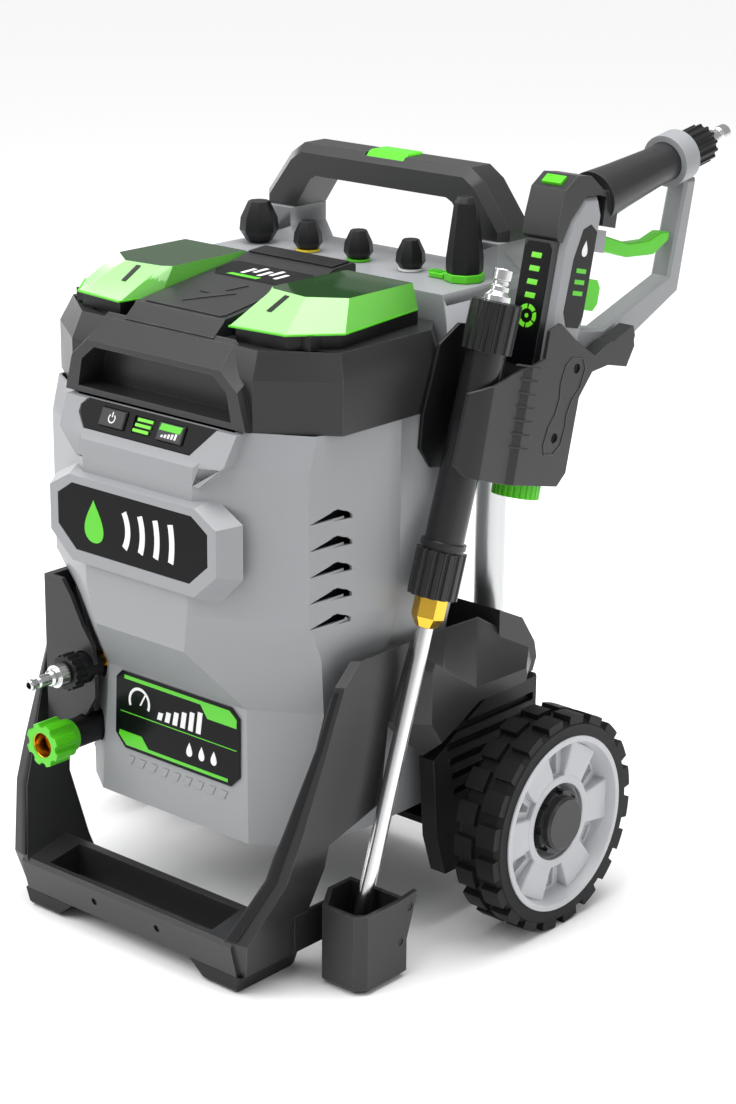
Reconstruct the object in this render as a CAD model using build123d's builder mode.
import os
from math import atan2, cos, degrees, radians, sin, sqrt

from build123d import *

os.makedirs("parts", exist_ok=True)

# ---------------------------------------------------------------- driving sizes (mm)
body_half = 190.0         # widest half width of the body shell
wall = 3.0                # moulded wall
fit = 0.4                 # gap between bodies that move past one another
shaft_fit = 0.05          # radial running clearance of pins, axle and swivels
flush = 0.2               # gap left between fixed mouldings

belly_z = 124.0           # underside of the body shell
collar_z = 550.0          # lower edge of the dark top cover
deck_z = 626.0            # flat top of the dark cover
lid_z = 640.0             # underside of the battery lids
lid_h = 27.0
split_y = -132.0          # parting plane of front and rear shells

wheel_r = 114.3
wheel_w = 56.0
wheel_out = 294.0         # outer face of the rim
wheel_y = 11.0
axle_r = 8.0
tyre_depth = 18.8         # from the tread down to the rim's edge
rim_r = wheel_r - tyre_depth

tube_x = 140.0            # handle tubes
tube_y = 71.0
tube_r = 16.0
tube_wall = 2.0
post_z = 688.0            # top of the rear posts, where the handle rests
handle_top = 756.0

outlet_x, outlet_z = -120.0, 256.0
inlet_x, inlet_z = -122.0, 186.0
front_y = -339.0          # tip of the outlet plug
panel_y = -264.0          # connector panel on the left leg

gun_x = 228.0
gun_lean = 13.2           # barrel leans back this far from upright
gun_base = (gun_x, 0.0, 464.0)
gun_half = 22.0

lance_foot = (203.6, -215.2, 10.5)
lance_head = (236.0, -35.0, 699.0)
lance_r = 8.3
sleeve_r = 19.5
nut_r = 25.0

nozzle_y = 20.0
nozzle_pitch = 70.0
rack_z = 652.0


# ---------------------------------------------------------------- helpers
def prism_x(pts, x0, x1):
    """Polygon of (y, z) points extruded from x0 to x1."""
    with BuildPart() as p:
        with BuildSketch(Plane.YZ.offset(x0)):
            with BuildLine():
                Polyline(*pts, close=True)
            make_face()
        extrude(amount=x1 - x0)
    return p.part


def prism_y(pts, y0, y1):
    """Polygon of (x, z) points extruded from y0 to y1."""
    with BuildPart() as p:
        with BuildSketch(Plane.XZ.offset(-y0)):
            with BuildLine():
                Polyline(*pts, close=True)
            make_face()
        extrude(amount=y0 - y1)
    return p.part


def prism_z(pts, z0, z1):
    """Polygon of (x, y) points extruded from z0 to z1."""
    with BuildPart() as p:
        with BuildSketch(Plane.XY.offset(z0)):
            with BuildLine():
                Polyline(*pts, close=True)
            make_face()
        extrude(amount=z1 - z0)
    return p.part


def block(x0, x1, y0, y1, z0, z1):
    """Box between two corners."""
    with BuildPart() as p:
        with Locations(((x0 + x1) / 2, (y0 + y1) / 2, (z0 + z1) / 2)):
            Box(x1 - x0, y1 - y0, z1 - z0)
    return p.part


def stack(sections):
    """Ruled loft through (z, [(x, y), ...]) sections."""
    with BuildPart() as p:
        for z, pts in sections:
            with BuildSketch(Plane.XY.offset(z)):
                with BuildLine():
                    Polyline(*pts, close=True)
                make_face()
        loft(ruled=True)
    return p.part


def mirrored(half):
    """Close a right-hand half outline, listed front to rear, across the middle plane."""
    return half + [(-x, y) for x, y in reversed(half)]


def turned(plane, profile):
    """Revolve an (r, h) profile about the normal of a plane."""
    with BuildPart() as p:
        with BuildSketch(Plane(plane.origin, x_dir=plane.x_dir, z_dir=-plane.y_dir)):
            with BuildLine():
                Polyline(*profile, close=True)
            make_face()
        revolve(axis=Axis(plane.origin, plane.z_dir))
    return p.part


def rod(plane, r, h0, h1, bore=0.0):
    """Round bar or tube along the normal of a plane."""
    with BuildPart() as p:
        with BuildSketch(plane.offset(h0)):
            Circle(r)
            if bore:
                Circle(bore, mode=Mode.SUBTRACT)
        extrude(amount=h1 - h0)
    return p.part


def cogged(plane, r, depth, count, h0, h1, bore):
    """Ribbed or lobed ring: a tube with grooves along its outside."""
    with BuildPart() as p:
        with BuildSketch(plane.offset(h0)):
            Circle(r)
            with PolarLocations(r + depth * 0.3, count):
                Circle(depth * 1.3, mode=Mode.SUBTRACT)
            Circle(bore, mode=Mode.SUBTRACT)
        extrude(amount=h1 - h0)
    return p.part


def save(solid, name):
    """Label a sub-part and write it."""
    solid.label = name
    export_step(solid, f"parts/{name}.step")


def inset(pts, d):
    """Outline moved inwards by d."""
    with BuildSketch(mode=Mode.PRIVATE) as s:
        with BuildLine():
            Polyline(*pts, close=True)
        make_face()
        offset(amount=-d, kind=Kind.INTERSECTION)
    ring = s.sketch.faces()[0].outer_wire()
    return [tuple(e.position_at(0))[:2] for e in ring.order_edges()]


# ---------------------------------------------------------------- body shell
def body_outline(front_x, front, ridge_x, ridge, side_x, side):
    """Ten-sided body section: front face, ridges, sides and rear chamfers."""
    return mirrored([(front_x, front), (ridge_x, ridge), (side_x, side), (side_x, -45.0), (side_x - 55.0, 16.0)])


body_rows = [
    (belly_z, (104.0, -256.0, 140.0, -232.0, 165.0, -150.0)),
    (262.0, (97.0, -250.0, 164.0, -212.0, 168.0, -150.0)),
    (327.0, (62.0, -300.0, 173.0, -226.0, 180.0, -150.0)),
    (368.0, (70.0, -303.0, 175.0, -247.0, body_half, -150.0)),
    (514.0, (76.0, -299.0, 175.0, -247.0, body_half, -150.0)),
    (collar_z - flush, (112.0, -273.0, 176.0, -236.0, body_half, -150.0)),
]


def body_solid(gap):
    rows = [(z, body_outline(*row)) for z, row in body_rows]
    if gap:
        rows = [(z, inset(pts, gap)) for z, pts in rows]
        rows[0] = (belly_z + gap, rows[0][1])
        rows[-1] = (collar_z + 5.0, rows[-1][1])
    return stack(rows)


body_outer = body_solid(0.0)
body_inner = body_solid(wall)


# emblem boss on the front, and its black plate
boss_front = -308.0
with BuildPart() as boss:
    with BuildSketch(Plane.XZ.offset(286.0)):
        Polygon((-92, 486), (92, 486), (128, 466), (128, 412), (96, 380), (-96, 380), (-128, 412), (-128, 466),
                align=None)
    with BuildSketch(Plane.XZ.offset(-boss_front)):
        Polygon((-86, 478), (86, 478), (114, 462), (114, 416), (84, 390), (-84, 390), (-114, 416), (-114, 462),
                align=None)
    loft(ruled=True)
emblem_face = [(-82, 470), (82, 470), (103, 456), (103, 424), (78, 402), (-78, 402), (-103, 424), (-103, 456)]
emblem_depth = 4.0
emblem_recess = prism_y(emblem_face, boss_front - 1, boss_front + emblem_depth)

# slanted shelf for the control panel
panel_top = (-276.0, 556.0)
panel_low = (-294.0, 517.0)
panel_tilt = degrees(atan2(panel_top[0] - panel_low[0], panel_top[1] - panel_low[1]))
panel_plane = Plane(origin=(0, (panel_top[0] + panel_low[0]) / 2, (panel_top[1] + panel_low[1]) / 2),
                    x_dir=(1, 0, 0), z_dir=(0, -cos(radians(panel_tilt)), sin(radians(panel_tilt))))
panel_outline = [(-84, 15), (92, 15), (66, -16), (-80, -16), (-92, -2), (-92, 6)]
panel_recess = 4.0
with BuildPart() as lip:
    with BuildSketch(Plane.XZ.offset(270.0)):
        Polygon((-84, 496), (84, 496), (112, 520), (116, 549), (-116, 549), (-112, 520), align=None)
    extrude(amount=34.0)
    with BuildSketch(Plane.YZ.offset(-120)):
        Polygon((-290, 560), (-310, 560), (-310, 490), (-300.5, 490), (panel_low[0] - 2, panel_low[1]),
                (panel_top[0] - 2, panel_top[1]), align=None)
    extrude(amount=240, mode=Mode.SUBTRACT)
with BuildPart() as panel_pocket:
    with BuildSketch(panel_plane.offset(2.0 - panel_recess)):
        Polygon(*panel_outline, align=None)
    extrude(amount=20)

# five wedge vents on each side
vent_pitch = 26.0
vent_top = 474.0
vent_count = 5
vent_plane_x = body_half - 24.0


def vent_cutters(side):
    """Recess and through slot of every vent on one side."""
    with BuildPart() as p:
        for i in range(vent_count):
            z = vent_top - i * vent_pitch
            with BuildSketch(Plane.YZ.offset(side * vent_plane_x)):
                Polygon((-246, z - 8), (-200, z - 7), (-197, z - 4), (-212, z + 2), align=None)
            extrude(amount=side * 40)
            with BuildSketch(Plane.YZ.offset(side * (body_half - 11.0))):
                Polygon((-262, z + 12), (-200, z - 2), (-194, z - 6), (-194, z - 10), (-262, z - 9), align=None)
            extrude(amount=side * 12)
    return p.part


vents = vent_cutters(1) + vent_cutters(-1)

shell = body_outer + boss.part + lip.part - body_inner
shell -= emblem_recess
shell -= panel_pocket.part
shell -= vents
port_r = 17.0
ports = rod(Plane(origin=(outlet_x, -300, outlet_z), z_dir=(0, 1, 0)), port_r, 0, 120)
ports += rod(Plane(origin=(inlet_x, -300, inlet_z), z_dir=(0, 1, 0)), port_r, 0, 120)
shell -= ports
front_half = block(-240, 240, -400, split_y - flush / 2, 60, 700)
rear_half = block(-240, 240, split_y + flush / 2, 200, 60, 700)
save(shell & front_half, "front_shell")

# rear shoulders, nozzle shelf and handle posts
shoulder_rows = [
    (collar_z - 8.0, [(body_half, -46.0), (body_half, -45.0), (body_half - 55.0, 16.0)]),
    (606.0, [(174.0, -46.0), (174.0, 70.0), (164.0, 102.0)]),
    (642.0, [(172.0, -46.0), (172.0, 70.0), (162.0, 102.0)]),
    (rack_z, [(166.0, -46.0), (166.0, 66.0), (158.0, 96.0)]),
]
shoulder = stack([(z, mirrored(pts)) for z, pts in shoulder_rows])
shoulder_hollow = stack([(z - wall, inset(mirrored(pts), wall)) for z, pts in shoulder_rows])
post_w = 44.0
post_y0, post_y1 = tube_y - 26.0, tube_y + 30.0


def post(side):
    """Light post that carries one handle foot."""
    x0 = side * tube_x
    with BuildPart() as p:
        for z, grow in ((606.0, 12.0), (rack_z, 10.0), (668.0, 0.0), (post_z - fit, 0.0)):
            with BuildSketch(Plane.XY.offset(z)):
                with Locations((x0 - side * grow / 2, (post_y0 + post_y1) / 2)):
                    Rectangle(post_w + grow, post_y1 - post_y0)
        loft(ruled=True)
    return p.part


rear = (shell & rear_half) + shoulder + post(1) + post(-1)
post_core = block(tube_x - 24, tube_x + 24, 40, 110, 560, 700)
rear -= shoulder_hollow - post_core - mirror(post_core, about=Plane.YZ)
tube_socket_r = tube_r + flush
for s in (-1, 1):
    rear -= rod(Plane.XY.move(Location((s * tube_x, tube_y, 0))), tube_socket_r, 540, 720)
stub_r = 6.0
socket_r = stub_r + 0.5
rack_holes = rod(Plane.XY.move(Location((-2 * nozzle_pitch, nozzle_y, 0))), socket_r, rack_z - 10, rack_z + 10)
for i in (-1, 0, 1, 2):
    rack_holes += rod(Plane.XY.move(Location((i * nozzle_pitch, nozzle_y, 0))), socket_r, rack_z - 10, rack_z + 10)

# dark top cover
cover_side = 192.0


def cover_outline(d):
    """Cover outline: d pulls the walls in."""
    return mirrored([(122.0 - d * 0.3, -266.0 + d), (cover_side - d, -218.0 + d * 0.8),
                     (cover_side - d, -80.0), (166.0 - d * 0.6, -50.0)])


cover = stack([(collar_z, cover_outline(0.0)), (600.0, cover_outline(0.0)), (deck_z, cover_outline(11.0))])
cover_hole = stack([(collar_z - 1, cover_outline(4.0)), (600.0, cover_outline(4.0)), (deck_z - wall, cover_outline(13.0))])
with BuildPart() as hood:
    with BuildSketch(Plane.XZ.offset(250.0)):
        Polygon((-120, 552), (120, 552), (112, 604), (86, 630), (-86, 630), (-112, 604), align=None)
    with BuildSketch(Plane.XZ.offset(276.0)):
        Polygon((-122, 552), (122, 552), (112, 588), (90, 606), (-90, 606), (-112, 588), align=None)
    loft(ruled=True)
pocket = prism_y([(-104, 558), (104, 558), (98, 586), (80, 600), (-80, 600), (-98, 586)], -290, -244)
pocket_wall = prism_y([(-107, 555), (107, 555), (101, 588), (81, 603), (-81, 603), (-101, 588)], -272, -241)

bay_x0, bay_x1 = 60.0, 172.0
bay_y0, bay_y1 = -226.0, -74.0
bays = block(bay_x0, bay_x1 - 14, bay_y0, bay_y1, deck_z - 20, deck_z + 20)
bays += block(-bay_x1 + 14, -bay_x0, bay_y0, bay_y1, deck_z - 20, deck_z + 20)
# raised spine between the battery lids, sloping up to the rear
spine_half = bay_x0
spine_front = (-238.0, 643.0)
spine_rear = (-98.0, 663.0)
spine = prism_x([(-236, deck_z - 1), (-254, deck_z + 2), (-240, deck_z + 14), spine_front, spine_rear, (-84, 668),
                 (-56, 670), (-52, 668), (-52, deck_z - 1)], -spine_half, spine_half)
spine_hollow = prism_x([(-230, deck_z - wall - 1), (-230, spine_front[1] - wall), (spine_rear[0], spine_rear[1] - wall),
                        (-84, 665), (-58, 667), (-58, deck_z - wall - 1)], -spine_half + wall, spine_half - wall)
cover = cover + hood.part - cover_hole
cover = cover + (pocket_wall & (cover_hole + hood.part)) - pocket - bays
cover = cover + spine - spine_hollow
save(cover, "top_cover")

# the shelf stops short of the cover's rear wall
rear -= block(-200, 200, -80, -50 + flush, collar_z - flush, rack_z + 1)
rear -= cover
# the axle stays clear of the shell, whatever the wheel size
axle_hole = rod(Plane(origin=(0, wheel_y, wheel_r), z_dir=(1, 0, 0)), axle_r + flush, -240, 240)
save(rear - rack_holes - axle_hole, "rear_shell")

# ---------------------------------------------------------------- front details
save(prism_y(emblem_face, boss_front + 0.6, boss_front + emblem_depth - flush), "emblem_plate")

button_gap = fit
with BuildPart() as panel:
    with BuildSketch(panel_plane.offset(2.0 - panel_recess + flush)):
        Polygon(*panel_outline, align=None)
        offset(amount=-0.8)
    extrude(amount=2.4)
    with BuildSketch(panel_plane.offset(2.0 - panel_recess + 0.8)):
        with Locations((-44, 0), (35, 0)):
            Rectangle(34 + 2 * button_gap, 18 + 2 * button_gap)
        with Locations((-4, 0)):
            Rectangle(26, 17)
    extrude(amount=20, mode=Mode.SUBTRACT)
save(panel.part, "control_panel")


def panel_button(x):
    """Rounded push button standing in the control panel."""
    with BuildPart() as p:
        with BuildSketch(panel_plane.offset(2.0 - panel_recess + 2.2)):
            with Locations((x, 0)):
                Rectangle(34, 18)
        extrude(amount=3.2)
        chamfer(p.edges().filter_by(lambda e: abs(e.center().dot(panel_plane.z_dir)
                - p.faces().sort_by(Axis(panel_plane.origin, panel_plane.z_dir))[-1].center()
                .dot(panel_plane.z_dir)) < 0.1), 1.0)
    return p.part


save(panel_button(-44), "power_button")
save(panel_button(35), "mode_button")
with BuildPart() as leds:
    with BuildSketch(panel_plane.offset(2.0 - panel_recess + 1.0)):
        for i, shift in enumerate((1.5, 0.0, -1.5)):
            with Locations((-4 + shift, 5.5 - 5.5 * i)):
                Rectangle(21, 3.2)
    extrude(amount=1.8)
save(leds.part, "led_bars")

label_tilt = degrees(atan2(256.0 - 250.0, 262.0 - belly_z))
label_plane = Plane(origin=(2, -252.1, 218), x_dir=(1, 0, 0),
                    z_dir=(0, -cos(radians(label_tilt)), sin(radians(label_tilt))))
with BuildPart() as label:
    with BuildSketch(label_plane.offset(0.6)):
        Polygon((-78, 42), (76, 42), (88, 33), (90, -28), (78, -40), (-72, -40), (-86, -26), (-86, 34), align=None)
    extrude(amount=1.2)
save(label.part, "rating_label")

# dark panels just inside the vents
vent_panel = prism_x([(-236, 355), (-172, 355), (-172, 484), (-236, 484)], 167.0, 169.0)
save((vent_panel + mirror(vent_panel, about=Plane.YZ)) & body_inner, "vent_panels")

# ---------------------------------------------------------------- battery bays, packs and lids
tray_top = lid_z - fit
pack_gap = 1.0


def tray(side):
    """Rim and well for one battery, open at the top."""
    x0, x1 = side * (bay_x0 + flush), side * (bay_x1 - 14 - flush)
    y0, y1 = bay_y0 + flush, bay_y1 - flush
    x0, x1 = min(x0, x1), max(x0, x1)
    well = block(x0, x1, y0, y1, 470.0, tray_top)
    inner = side * (spine_half + flush)
    rim = prism_z([(inner, -70), (side * 156, -70), (side * 168, -196), (side * 138, -236), (side * 78, -242),
                   (inner, -200)], deck_z + flush, tray_top)
    hollow = block(x0 + 2.5, x1 - 2.5, y0 + 2.5, y1 - 2.5, 472.5, tray_top + 5)
    return well + rim - hollow


def knuckle_cut(side):
    """Clear space for a lid's hinge barrel."""
    return block(min(side * 76, side * 134), max(side * 76, side * 134), -73, -56, deck_z - 8, tray_top + 4)


pin_r = 2.0
pin_y, pin_z = -65.0, lid_z - 3.0


def hinge_pin(side):
    """Steel pin along X through the lid barrels, held by two ears."""
    return rod(Plane(origin=(side * 105.0, pin_y, pin_z), z_dir=(1, 0, 0)), pin_r, -34.0, 34.0)


def ears(side):
    """Ears beside the lid barrel, standing on the cover."""
    out = block(side * 105 - 34, side * 105 - 28, -75, -60, deck_z + flush, tray_top)
    out += block(side * 105 + 28, side * 105 + 34, -75, -60, deck_z + flush, tray_top)
    return out


both = tray(1) + tray(-1)
both -= knuckle_cut(1) + knuckle_cut(-1)
both = both + ears(1) + ears(-1) + hinge_pin(1) + hinge_pin(-1)
save(both, "battery_tray")


def pack(side):
    """Battery pack standing in its well."""
    cx, cy = side * (bay_x0 + bay_x1 - 14) / 2, (bay_y0 + bay_y1) / 2
    half_x, half_y = (bay_x1 - 14 - bay_x0) / 2 - 2.5 - pack_gap, (bay_y1 - bay_y0) / 2 - 2.5 - pack_gap
    with BuildPart() as p:
        with Locations((cx, cy, (473.0 + 634.0) / 2)):
            Box(2 * half_x, 2 * half_y, 634.0 - 473.0)
        chamfer(p.edges().filter_by(Axis.Z), 6)
        with Locations((cx, cy, 634.0)):
            Box(50, 90, 8, mode=Mode.SUBTRACT)
    return p.part


save(pack(1) + pack(-1), "battery_packs")


def lid(side, gap):
    """Faceted lid outline as a solid; gap insets it to make the hollow."""
    base = [(64, -72), (158, -72), (176, -198), (140, -241), (74, -248), (64, -200)]
    top = [(67, -76), (154, -76), (155, -169), (121, -193), (75, -187), (67, -180)]
    if gap:
        base, top = inset(base, gap), inset(top, gap)
    if side < 0:
        base = [(-x, y) for x, y in base]
        top = [(-x, y) for x, y in top]
    low = lid_z if not gap else lid_z - 1
    return stack([(low, base), (lid_z + lid_h - gap, top)])


def whole_lid(side):
    solid = lid(side, 0.0) - lid(side, 2.5)
    plane = Plane(origin=(side * 105.0, pin_y, pin_z), z_dir=(1, 0, 0))
    arm = block(side * 105 - 27, side * 105 + 27, -76, pin_y, lid_z + fit, lid_z + 3.5)
    barrel = rod(plane, 5.0, -27.0, 27.0)
    solid = solid + arm + barrel
    return solid - rod(plane, pin_r + shaft_fit, -40.0, 40.0)


save(whole_lid(1), "lid_right")
save(whole_lid(-1), "lid_left")

# ---------------------------------------------------------------- front frame
leg_rows = [  # z, outer x, width, front y, rear y
    (19.0, 157.0, 30.0, -322.0, -236.0),
    (57.0, 167.0, 26.0, -330.0, -243.0),
    (121.0, 193.0, 23.0, -302.0, -242.0),
    (144.0, 195.0, 22.0, -293.0, -238.0),
    (166.0, 197.0, 20.0, -284.0, -165.0),
    (249.0, 200.0, 10.0, -251.0, -158.0),
    (305.0, 202.0, 8.0, -230.0, -138.0),
    (325.0, 200.5, 7.5, -206.0, -128.0),
]


def leg(side):
    """One sloping side leg of the U-shaped frame."""
    return stack([(z, [(side * (xo - w), yf), (side * xo, yf + 6), (side * xo, yr), (side * (xo - w), yr)])
                  for z, xo, w, yf, yr in leg_rows])


bar_z0, bar_z1 = 19.0, 57.0
bar = prism_x([(-322, bar_z0), (-330, 52), (-327, bar_z1), (-272, 66), (-270, bar_z0)], -150, 150)
bar -= prism_x([(-322, 30), (-322, 70), (-280, 70), (-280, 30)], -116, 116)
web = prism_y([(-176, 344), (-150, 344), (-137, 327), (-122, 300), (-107, 281), (-104, 262), (-104, 226),
               (-128, 188), (-168, 158), (-176, 158)], panel_y, panel_y + 5)
web += prism_y([(-176, 200), (-168, 200), (-168, 344), (-176, 344)], panel_y, -228)
frame = bar + leg(1) + leg(-1) + web
frame -= rod(Plane(origin=(outlet_x, -300, outlet_z), z_dir=(0, 1, 0)), port_r, 0, 60)
frame -= rod(Plane(origin=(inlet_x, -300, inlet_z), z_dir=(0, 1, 0)), port_r, 0, 60)
frame_screw_x = 45.0
frame_screw_z = 38.0
frame_screw_r = 4.0
for s in (-1, 1):
    frame -= rod(Plane(origin=(s * frame_screw_x, -335, frame_screw_z), z_dir=(0, 1, 0)), frame_screw_r, 0, 18)
save(frame - body_outer, "front_frame")

foot = prism_y([(84, bar_z0 - flush), (108, 0), (148, 0), (155, bar_z0 - flush)], -322, -238)
foot = chamfer(foot.edges().group_by(Axis.Z)[0].filter_by(Axis.X), 4)
save(foot + mirror(foot, about=Plane.YZ), "foot_pads")

screw_head_r = 3.6
frame_screws = rod(Plane(origin=(frame_screw_x, -328, frame_screw_z), z_dir=(0, 1, 0)), screw_head_r, 4, 8)
frame_screws += rod(Plane(origin=(-frame_screw_x, -328, frame_screw_z), z_dir=(0, 1, 0)), screw_head_r, 4, 8)

# ---------------------------------------------------------------- lance cup
cup_top, cup_low = 84.0, 1.0
cup_screws_at = ((-176.0, 73.0), (-190.0, 40.0))
cup_screw_r = 4.2
cup_plan = [(172, -180), (172, -214), (195, -248), (236, -248), (246, -238), (246, -180)]
cup = prism_z(cup_plan, cup_low, cup_top)
cup = chamfer(cup.edges().group_by(Axis.Z)[0], 5.0)
cup_bore = prism_z([(177, -185), (177, -212), (198, -243), (234, -243), (241, -236), (241, -185)], cup_low + 5, 100)
cup_tab = prism_x([(-190, cup_top), (-164, cup_top + 3), (-182, 34), (-198, cup_low + 8), (-212, 20)], 240, 246)
cup = cup + cup_tab - cup_bore
cup += prism_x([(-262, 70), (-212, 70), (-212, 30), (-262, 30)], 168.5, 172)
cup -= leg(1)
for y, z in cup_screws_at:
    cup -= rod(Plane(origin=(243.5, y, z), z_dir=(1, 0, 0)), cup_screw_r + flush, 0, 14)
save(cup, "lance_cup")

# ---------------------------------------------------------------- rear base, louvres, axle
cover_x1 = 214.0
cover_inner = [(-127.5, 322), (-60, 320), (-9, 318), (78, 266), (84, 250), (78, 236), (-7, 236), (-94, 192),
               (-157, 248), (-137, 306)]
cover_outer = [(-104, 300), (-92, 290), (-39, 256), (43, 254), (45, 247), (43, 240), (-32, 240), (-92, 212),
               (-108, 236), (-108, 290)]


def side_cover(side):
    """Faceted dark cap over the rear base."""
    with BuildPart() as p:
        for x, pts in ((body_half + flush, cover_inner), (cover_x1, cover_outer)):
            with BuildSketch(Plane.YZ.offset(side * x)):
                with BuildLine():
                    Polyline(*pts, close=True)
                make_face()
        loft(ruled=True)
    return p.part


bridge_poly = [(22, 236), (22, 318), (60, 300), (82, 268), (86, 250), (80, 236)]
bridge = prism_x(bridge_poly, -body_half - 4, body_half + 4)
bridge -= prism_x([(26, 232), (26, 312), (58, 294), (77, 266), (80, 251), (76, 232)], -body_half + 4, body_half - 4)
caps = side_cover(1) + side_cover(-1) + bridge
for s in (-1, 1):
    caps -= rod(Plane.XY.move(Location((s * tube_x, tube_y, 0))), tube_socket_r, 200, 400)
caps -= leg(1) + leg(-1)
save(caps - body_outer, "base_cover")

louvre_x = 204.0
louvre_pitch = 17.0


def louvre_panel(side):
    """Black side panel of the rear base with long slots above the axle."""
    x0, x1 = (body_half - 6, louvre_x) if side > 0 else (-louvre_x, -body_half + 6)
    p = prism_x([(-92, 190), (-7, 235.5), (79, 235.5), (79, 76), (60, 58), (-70, 58), (-84, 100)], x0, x1)
    outer = p.faces().sort_by(Axis.X)[-1 if side > 0 else 0]
    p = chamfer(outer.edges().filter_by(Axis.Z), 5.0)
    for i in range(5):
        z = 214 - i * louvre_pitch
        p -= block(min(side * 198, side * 210), max(side * 198, side * 210), -70 + abs(i - 1) * 4, 68, z - 4, z + 4)
    return p


base_back = block(-body_half + 6, body_half - 6, 70, 79, 52, 235.5)
base_floor = block(-body_half + 6, body_half - 6, 20, 70, 52, 60)
panels = louvre_panel(1) + louvre_panel(-1) + base_back + base_floor
panels -= axle_hole
panels -= block(-body_half + 6, body_half - 6, -60, 66, 60.2, 240)
save(panels - body_outer - caps, "louvre_panels")


inner_gap = fit
inner_top = handle_top - 44.0
inner_r = tube_r - tube_wall - inner_gap
inner_wall = 1.7
outer_tubes = None
for s in (-1, 1):
    t = rod(Plane.XY.move(Location((s * tube_x, tube_y, 0))), tube_r, 240.0, post_z - 6.0, tube_r - tube_wall)
    outer_tubes = t if outer_tubes is None else outer_tubes + t
save(outer_tubes, "outer_tubes")

inner_tubes = None
for s in (-1, 1):
    t = rod(Plane.XY.move(Location((s * tube_x, tube_y, 0))), inner_r, 256.0, inner_top, inner_r - inner_wall)
    inner_tubes = t if inner_tubes is None else inner_tubes + t
save(inner_tubes, "inner_tubes")

axle = rod(Plane(origin=(0, wheel_y, wheel_r), z_dir=(1, 0, 0)), axle_r, -wheel_out + 10, wheel_out - 10)
save(axle, "axle")

# ---------------------------------------------------------------- wheels
wheel_in = wheel_out - wheel_w
hub_r = 21.0
spokes = 6


def wheel_plane(side, offset=0.0):
    return Plane(origin=(side * (wheel_in + offset), wheel_y, wheel_r), x_dir=(0, 1, 0), z_dir=(side, 0, 0))


def wheel_rim(side):
    """Dished plastic rim with pockets between the spokes."""
    pl = wheel_plane(side)
    profile = [(axle_r + shaft_fit, 4), (36, 4), (36, 14), (rim_r - 17.5, 26), (rim_r - 9.5, 4), (rim_r - 3, 4), (rim_r - 3, wheel_w),
               (rim_r - 9, wheel_w), (rim_r - 16, wheel_w - 22), (46, wheel_w - 14), (40, wheel_w - 14),
               (37, 26), (axle_r + shaft_fit, 26)]
    p = turned(pl, profile)
    with BuildPart() as pockets:
        with BuildSketch(pl.offset(wheel_w - 26)):
            with PolarLocations(rim_r - 27.5, spokes, start_angle=30):
                Trapezoid(22, 34, 104, rotation=-90)
        extrude(amount=30)
    pocket_floor = turned(pl, [(46, wheel_w - 25), (rim_r - 18, wheel_w - 25), (rim_r - 18, wheel_w + 6),
                               (46, wheel_w + 6)])
    return p - (pockets.part & pocket_floor)


tyre_bore = rim_r - 3.0
lugs_n = 20


def tyre(side):
    """Solid tyre with two rows of staggered tread blocks."""
    pl = wheel_plane(side)
    base_r = wheel_r - 6.0
    profile = [(tyre_bore, 2), (base_r - 4, 2), (base_r, 7), (base_r, wheel_w - 7), (base_r - 4, wheel_w - 2),
               (tyre_bore, wheel_w - 2)]
    with BuildPart() as p:
        add(turned(pl, profile))
        for row, (h0, h1) in enumerate(((3, 25), (31, wheel_w - 3))):
            with BuildSketch(pl.offset(h0)):
                with PolarLocations(base_r + 1.4, lugs_n, start_angle=row * 180 / lugs_n):
                    Rectangle(9.2, 22)
            extrude(amount=h1 - h0)
    ring = rod(pl, wheel_r, 0, wheel_w, tyre_bore)
    return p.part & ring


def hub_cap(side):
    """Notched cap over the axle end."""
    pl = wheel_plane(side)
    with BuildPart() as p:
        with BuildSketch(pl.offset(26 + flush)):
            Circle(33)
        extrude(amount=wheel_w - 26 - 8)
        with BuildSketch(pl.offset(wheel_w - 8)):
            Circle(28)
        extrude(amount=9.0)
        chamfer(p.edges().filter_by(GeomType.CIRCLE).sort_by(Axis(pl.origin, pl.z_dir))[-1], 2.5)
        with BuildSketch(pl.offset(wheel_w - 16)):
            with PolarLocations(33, 8):
                Rectangle(7, 9)
        extrude(amount=30, mode=Mode.SUBTRACT)
        with BuildSketch(pl.offset(26)):
            Circle(axle_r + 1.0)
        extrude(amount=wheel_w - 26 - 9, mode=Mode.SUBTRACT)
    return p.part


for s, name in ((-1, "left"), (1, "right")):
    save(wheel_rim(s), f"wheel_rim_{name}")
    save(tyre(s), f"tyre_{name}")
    save(hub_cap(s), f"hub_cap_{name}")

# ---------------------------------------------------------------- handle
handle_low = post_z
handle_y0, handle_y1 = 52.0, 101.0
handle_shoulder = handle_top - 56.0
handle_bend = handle_top - 12.0
handle_under = handle_top - 32.0
handle_out = [(-164, handle_low), (-164, handle_shoulder), (-130, handle_bend), (-112, handle_top),
              (112, handle_top), (130, handle_bend), (164, handle_shoulder), (164, handle_low)]
handle_in = [(118, handle_low), (96, handle_under - 4), (88, handle_under), (-88, handle_under),
             (-96, handle_under - 4), (-118, handle_low)]
grip = prism_y(handle_out + handle_in, handle_y0, handle_y1)
grip = chamfer(grip.edges().filter_by(GeomType.LINE).filter_by(
    lambda e: abs(e.tangent_at(0).Y) < 0.01 and e.center().Z > handle_low + 1 and
    (abs(e.center().X) > 125 or e.center().Z > handle_top - 16)), 9.0)
for s in (-1, 1):
    grip -= rod(Plane.XY.move(Location((s * tube_x, tube_y, 0))), inner_r + flush, 600, inner_top + 1)
    grip -= rod(Plane.XY.move(Location((s * tube_x, tube_y, 0))), tube_r + fit, 600, handle_low + 0.3)
button_half = 26.0
button_y0, button_y1 = 58.0, 90.0
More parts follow.
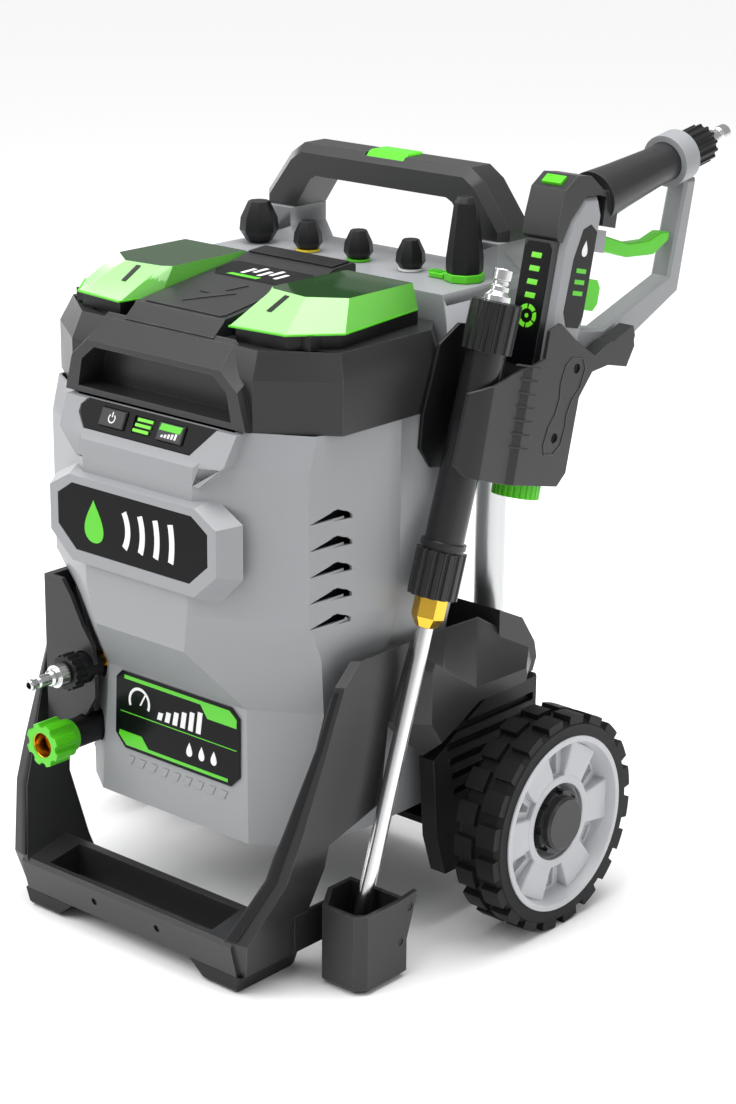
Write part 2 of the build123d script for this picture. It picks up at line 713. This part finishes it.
button_well = block(-button_half - fit, button_half + fit, button_y0 - fit, button_y1 + fit,
                    handle_top - 18, handle_top + 24)
grip -= button_well
save(grip, "handle_grip")
button_low = handle_top - 13.0
release = prism_x([(button_y0, button_low), (button_y0, handle_top - 5.5), (button_y0 + 9, handle_top + 2.5),
                   (button_y1, handle_top + 2.5), (button_y1, button_low)], -button_half, button_half)
save(chamfer(release.edges().filter_by(Axis.Y).group_by(Axis.Z)[-1], 2), "release_button")

# ---------------------------------------------------------------- nozzles
def cap_nozzle(i, r, h, name):
    """Faceted quick-connect nozzle, standing in the shelf by its stem."""
    pl = Plane(origin=(i * nozzle_pitch, nozzle_y, rack_z))
    with BuildPart() as p:
        with BuildSketch(pl.offset(1.0)):
            RegularPolygon(r * 0.62, 8)
        with BuildSketch(pl.offset(h * 0.3)):
            RegularPolygon(r, 8)
        with BuildSketch(pl.offset(h * 0.6)):
            RegularPolygon(r * 0.94, 8)
        with BuildSketch(pl.offset(h)):
            RegularPolygon(r * 0.55, 8)
        loft(ruled=True)
        with BuildSketch(pl.offset(-9.5)):
            Circle(stub_r)
        extrude(amount=11)
    save(p.part, name)


cap_nozzle(-2, 21.0, 44.0, "nozzle_rinse")
cap_nozzle(-1, 15.5, 32.0, "nozzle_wide")
cap_nozzle(0, 15.5, 32.0, "nozzle_medium")
cap_nozzle(1, 15.5, 32.0, "nozzle_soap")
pl = Plane(origin=(2 * nozzle_pitch, nozzle_y, rack_z))
with BuildPart() as turbo:
    for h, r in ((1.0, 16.0), (12.0, 19.0), (24.0, 19.0), (78.0, 12.0), (84.0, 8.0)):
        with BuildSketch(pl.offset(h)):
            RegularPolygon(r, 8)
    loft(ruled=True)
    with BuildSketch(pl.offset(-9.5)):
        Circle(stub_r)
    extrude(amount=11)
save(turbo.part, "nozzle_turbo")

# ---------------------------------------------------------------- water fittings
out_plane = Plane(origin=(outlet_x, 0, outlet_z), x_dir=(1, 0, 0), z_dir=(0, -1, 0))
in_plane = Plane(origin=(inlet_x, 0, inlet_z), x_dir=(1, 0, 0), z_dir=(0, -1, 0))
plug_r = 6.0
plug = turned(out_plane, [(0, 258), (8.0, 258), (8.0, 292), (12.0, 292), (12.0, 304), (8.5, 304), (8.5, 310),
                          (plug_r, 312), (plug_r, 326), (4.6, 328), (4.6, 332), (plug_r, 334),
                          (plug_r, -front_y - 1), (plug_r - 1, -front_y), (3.5, -front_y), (3.5, 262), (0, 262)])
save(plug, "outlet_plug")
collar_ring = cogged(out_plane, 19.0, 2.2, 16, 274, 290, 8.0 + flush)
collar_ring += rod(out_plane, 15.5, 250, 275, 8.0 + flush)
save(collar_ring, "outlet_collar")

inlet_nut_z1 = 322.0
thread_r = 13.5
neck_r = 11.0
flange_h0, flange_h1, flange_r = 297.0, 300.0, 12.4
stub = turned(in_plane, [(0, 246), (15.5, 246), (15.5, 283), (neck_r, 283), (neck_r, flange_h0),
                         (flange_r, flange_h0), (flange_r, flange_h1), (8, flange_h1), (8, 250), (0, 250)])
save(stub, "inlet_stub")
thread_h0 = flange_h1 + fit
nut = turned(in_plane, [(neck_r + shaft_fit, 284.0), (17.0, 284.0), (19.0, 295.0), (19.0, inlet_nut_z1),
                        (thread_r, inlet_nut_z1), (thread_r, thread_h0), (flange_r + fit, thread_h0),
                        (flange_r + fit, flange_h0 - fit), (neck_r + shaft_fit, flange_h0 - fit)])
nut += cogged(in_plane, 23.0, 4.0, 8, 295.0, inlet_nut_z1, 16.0)
save(nut, "inlet_nut")

# ---------------------------------------------------------------- inner works
motor_y, motor_z = -120.0, 205.0
motor_plane = Plane(origin=(0, motor_y, motor_z), x_dir=(0, 1, 0), z_dir=(1, 0, 0))
motor = rod(motor_plane, 48.0, -4.0, 96.0) + rod(motor_plane, 52.0, 96.0, 104.0)
motor += rod(motor_plane, 12.0, 104.0, 118.0)
motor += block(0, 90, motor_y - 30, motor_y + 30, belly_z + wall + flush, motor_z - 30)
save(motor, "motor")
pump = rod(motor_plane, 44.0, -52.0, -4.0 - flush) + block(-104, -52, motor_y - 34, motor_y + 34, motor_z - 44,
                                                           motor_z + 66)
pump += block(-96, -20, motor_y - 26, motor_y + 26, belly_z + wall + flush, motor_z - 40)
save(pump, "pump")
pipe_end = motor_y - 34 - flush
outlet_pipe = rod(Plane(origin=(-92, 0, outlet_z), z_dir=(0, -1, 0)), 7.0, -pipe_end, 226, 4.0)
outlet_pipe += block(outlet_x - 9, -83, -238, -222, outlet_z - 9, outlet_z + 9)
outlet_pipe += rod(out_plane, 7.8, 232, 258 - flush)
inlet_pipe = rod(Plane(origin=(-92, 0, inlet_z), z_dir=(0, -1, 0)), 8.0, -pipe_end, 226, 5.0)
inlet_pipe += block(inlet_x - 10, -82, -238, -222, inlet_z - 10, inlet_z + 10)
inlet_pipe += rod(in_plane, 8.5, 232, 246 - flush)
save(outlet_pipe, "outlet_pipe")
save(inlet_pipe, "inlet_pipe")
controller = block(-70, 70, -230, -216, 330, 450)
for i in range(9):
    controller += block(-64 + 16 * i - 2, -64 + 16 * i + 2, -216.5, -196, 336, 444)
controller += block(-70, -50, -296.0, -229, 372, 382) + block(50, 70, -296.0, -229, 372, 382)
save(controller, "controller")

# ---------------------------------------------------------------- lance
direction = [b - a for a, b in zip(lance_foot, lance_head)]
lance_len = sqrt(sum(d * d for d in direction))
lance_dir = tuple(d / lance_len for d in direction)
lance_plane = Plane(origin=lance_foot, z_dir=lance_dir)
hex_h0, nut_h0, nut_h1, top_h0, top_h1 = 347.0, 378.0, 424.0, 620.0, 668.0
save(rod(lance_plane, lance_r, 0, hex_h0, 5.0), "lance_tube")
with BuildPart() as hexagon:
    for h, r in ((hex_h0 + flush, 10.5), (hex_h0 + 10, 16.5), (nut_h0 - flush, 16.5)):
        with BuildSketch(lance_plane.offset(h)):
            RegularPolygon(r, 6)
    loft(ruled=True)
save(hexagon.part, "lance_adapter")
sleeve = cogged(lance_plane, nut_r, 2.4, 14, nut_h0, nut_h1, sleeve_r - 1)
sleeve += turned(lance_plane, [(0, nut_h0), (sleeve_r, nut_h0), (sleeve_r, top_h0 + 2), (0, top_h0 + 2)])
sleeve += rod(lance_plane, nut_r - 2.5, nut_h1 + 3, nut_h1 + 9)
sleeve += cogged(lance_plane, nut_r, 2.4, 14, top_h0, top_h1, 8.0)
sleeve += rod(lance_plane, sleeve_r, top_h0, top_h1)
save(sleeve, "lance_sleeve")
tip = turned(lance_plane, [(0, top_h1 + flush), (13, top_h1 + flush), (13, top_h1 + 6), (9.2, top_h1 + 10),
                           (9.2, top_h1 + 15), (7.8, top_h1 + 16), (7.8, top_h1 + 20), (9.2, top_h1 + 21),
                           (9.2, top_h1 + 31), (8.0, top_h1 + 32), (0, top_h1 + 32)])
save(tip, "lance_plug")

# ---------------------------------------------------------------- spray gun
lean = radians(gun_lean)
gun_plane = Plane(origin=gun_base, x_dir=(0, cos(lean), -sin(lean)), z_dir=(1, 0, 0))
barrel_plane = Plane(origin=gun_base, x_dir=(1, 0, 0), z_dir=(0, sin(lean), cos(lean)))


def gun_prism(pts, half, x_mid=0.0):
    """Polygon in the gun's side view (back, along barrel), centred across its width."""
    with BuildPart() as p:
        with BuildSketch(gun_plane.offset(x_mid - half)):
            with BuildLine():
                Polyline(*pts, close=True)
            make_face()
        extrude(amount=2 * half)
    return p.part


def side_edges(solid, at):
    """Edges lying on the two side faces of a gun piece."""
    return solid.edges().filter_by(lambda e: abs(abs(e.center().X - gun_x) - at) < 0.01)


body_pts = [(-16, 82), (-20, 100), (-20, 236), (-12, 262), (6, 286), (27, 290), (37, 273), (36, 160), (28, 120),
            (16, 82)]
gun_body = gun_prism(body_pts, gun_half)
gun_body = chamfer(side_edges(gun_body, gun_half), 5.0)
guard_half = 12.0
guard = gun_prism([(30, 158), (84, 162), (184, 222), (186, 322), (204, 326), (206, 208), (120, 144), (30, 124)],
                  guard_half)
guard = chamfer(side_edges(guard, guard_half), 3.0)
grip_angle = radians(23.0)
grip_org = gun_plane.from_local_coords(Vector(50, 290, 0))
grip_z = gun_plane.from_local_coords(Vector(cos(grip_angle), sin(grip_angle), 0)) - gun_plane.origin
grip_plane = Plane(origin=grip_org, x_dir=(1, 0, 0), z_dir=grip_z)
ring = rod(grip_plane, 27.0, 118.0, 142.0)
ring_hole = rod(grip_plane, 20.0 + flush, 100.0, 160.0)
swivel_r = 9.0
gun_body += guard + ring - ring_hole
head_pts = [(-31, 240), (-33, 262), (-30, 290), (-14, 306), (8, 308), (34, 296), (60, 300), (62, 262), (40, 262),
            (38, 291), (27, 291.5), (5, 287.5), (-13, 263), (-21.5, 240)]
head = gun_prism(head_pts, gun_half - 1)
head = chamfer(head.edges().filter_by(Axis.X).group_by(Axis.Y)[0], 4.0)
strap = gun_prism([(-26, 96), (-30, 110), (-30, 240.5), (-20.3, 240.5), (-20.3, 96)], 17.0)
coupler_bore = 14.0
coupler_h0, coupler_h1, coupler_travel = -12.0, 12.0, 4.0
barrel = rod(barrel_plane, 19.0, coupler_h1 + coupler_travel + fit, 82.0 - flush)
barrel += rod(barrel_plane, coupler_bore - shaft_fit, coupler_h0 + 2, coupler_h1 + coupler_travel + 1, 9.5)
with BuildPart() as handgrip:
    for h, r in ((-6.0, 27.0), (30.0, 24.0), (90.0, 20.5), (118.0, 20.0), (142.0, 20.0)):
        with BuildSketch(grip_plane.offset(h)):
            Circle(r)
    loft(ruled=True)
speed_org = gun_plane.from_local_coords(Vector(-22, 298, 0))
speed_n = Vector(0, -sin(radians(45) - lean), cos(radians(45) - lean))
speed_plane = Plane(origin=speed_org, x_dir=(1, 0, 0), z_dir=speed_n)
grip_solid = handgrip.part - gun_body - rod(grip_plane, swivel_r + 1, 136, 150)
head = head + strap + grip_solid - gun_body
pivot = (52.0, 246.0)
pivot_plane = Plane(origin=gun_plane.from_local_coords(Vector(*pivot, 0)), x_dir=(0, 1, 0), z_dir=(1, 0, 0))
slot_half = 7.0
head -= gun_prism([(38, 225), (100, 225), (100, 262), (38, 262)], slot_half + fit)
with BuildPart() as speed_cut:
    with BuildSketch(speed_plane.offset(-4)):
        Rectangle(24, 12)
    extrude(amount=20)
head -= speed_cut.part
ear = gun_prism([(36.5, 236), (36.5, 258), (58, 258), (60, 236)], 3.0, 11.0)
ear += gun_prism([(36.5, 236), (36.5, 258), (58, 258), (60, 236)], 3.0, -11.0)
gun_body += ear + rod(pivot_plane, 2.5, -12.0, 12.0)
lock_half, lock_shift = 6.0, 8.0
gun_body -= gun_prism([(30, 172), (50, 172), (50, 218), (30, 218)], lock_half + fit, lock_shift)
save(gun_body, "gun_shell")
save(head - gun_body, "gun_cover")
save(barrel - gun_body, "gun_barrel")

trigger = gun_prism([(45, 240), (45, 252), (58, 254), (110, 249), (145, 255), (166, 266), (178, 267), (179, 258),
                     (158, 242), (112, 235), (60, 238)], slot_half)
trigger -= rod(pivot_plane, 2.5 + shaft_fit, -20.0, 20.0)
save(chamfer(side_edges(trigger, slot_half).filter_by(lambda e: e.length > 12), 1.2), "gun_trigger")
lock = gun_prism([(31, 178), (58, 178), (64, 185), (64, 202), (58, 209), (31, 209)], lock_half, lock_shift)
save(lock, "gun_lock")
with BuildPart() as speed:
    with BuildSketch(speed_plane.offset(-1.0)):
        Rectangle(24 - 2 * fit, 12 - 2 * fit)
    extrude(amount=4.0)
save(speed.part, "gun_button")
coupler = cogged(barrel_plane, 24.0, 1.2, 24, coupler_h0, coupler_h1, coupler_bore)
save(coupler, "gun_coupler")
swivel = cogged(grip_plane, 20.5, 2.6, 14, 142.0 + fit, 184.0, swivel_r + shaft_fit)
save(swivel, "gun_swivel")
gun_plug = turned(grip_plane, [(0, 142 + flush - 5), (swivel_r, 142 + flush - 5), (swivel_r, 186), (10.5, 186),
                               (10.5, 190), (8.4, 191), (8.4, 204), (6.6, 206), (6.6, 211), (8.4, 213),
                               (8.4, 225), (7.6, 226), (0, 226)])
save(gun_plug, "gun_plug")

# ---------------------------------------------------------------- holster
holster_x0, holster_x1 = 193.0, 197.5


def across(pts, u0, u1):
    """Polygon of (x, back) points extruded along the barrel direction."""
    plane = Plane(origin=(0, gun_base[1], gun_base[2]), x_dir=(1, 0, 0), z_dir=(0, sin(lean), cos(lean)))
    flip = -1 if plane.y_dir.Y < 0 else 1
    with BuildPart() as p:
        with BuildSketch(plane.offset(u0)):
            with BuildLine():
                Polyline(*[(x, flip * v) for x, v in pts], close=True)
            make_face()
        extrude(amount=u1 - u0)
    return p.part


def gun_slab(pts, x0, x1):
    """Polygon in the gun's side view between two x planes."""
    return gun_prism(pts, (x1 - x0) / 2, (x0 + x1) / 2 - gun_x)


back = gun_slab([(-122, 26), (-126, 60), (-118, 128), (-92, 150), (-46, 150), (27, 122), (31, 96), (31, 14), (-100, 8)],
                holster_x0, holster_x1)
back += across([(holster_x1, -54), (holster_x1, -50), (254, -50), (254, -54)], 14, 92)
back += across([(holster_x1, 27), (holster_x1, 31), (256, 31), (256, 27)], 14, 92)
back += gun_slab([(-60, 30), (20, 30), (20, 80), (-60, 80)], body_half + flush, holster_x0)
save(back, "holster_back")
flap_low = [(-120, 18), (-112, 8), (-60, 4), (20, 4), (31, 18), (32, 94), (47, 120), (47, 136), (10, 150), (-18, 164),
            (-34, 156), (-34, 128), (-106, 96), (-118, 88)]
flap = gun_slab(flap_low, 230.0, 266.0)
flap_hollow = across([(220, -142), (229, -127), (249, -107), (253.4, -101), (253.4, -60), (257.5, -54),
                      (257.5, 80), (220, 80)], -20, 200)
flap_skin = across([(231.5, -127), (252.5, -108.5), (257, -101), (257, -60), (262, -52), (262, 80), (220, 80),
                    (220, -127)], -20, 200)
flap = (flap & flap_skin) - flap_hollow
claw_bar = gun_slab([(47, 120), (47, 136), (70, 152), (98, 152), (98, 128), (72, 128)], 244.0, 262.0)
claw = gun_slab([(72, 128), (72, 136), (98, 152), (108, 158), (112, 150), (104, 128)], 213.0, 262.0)
claw += gun_slab([(72, 128), (72, 150), (84, 158), (104, 170), (110, 160), (104, 128)], 244.0, 262.0)
flap = flap + claw_bar + claw
flap -= gun_prism([(20, 168), (84, 172), (194, 240), (230, 240), (216, 200), (122, 138.5), (20, 116)], guard_half + 1)
flap_screws_at = ((20.0, 122.0), (2.0, 52.0))
for v, u in flap_screws_at:
    hole = Plane(origin=gun_plane.from_local_coords(Vector(v, u, 30)), x_dir=(0, 1, 0), z_dir=(1, 0, 0))
    flap -= rod(hole, 5.0, 0, 12)
save(flap, "holster_flap")
for y, z in cup_screws_at:
    frame_screws += rod(Plane(origin=(243.7, y, z), z_dir=(1, 0, 0)), cup_screw_r, 0, 1.5)
save(frame_screws, "screws")
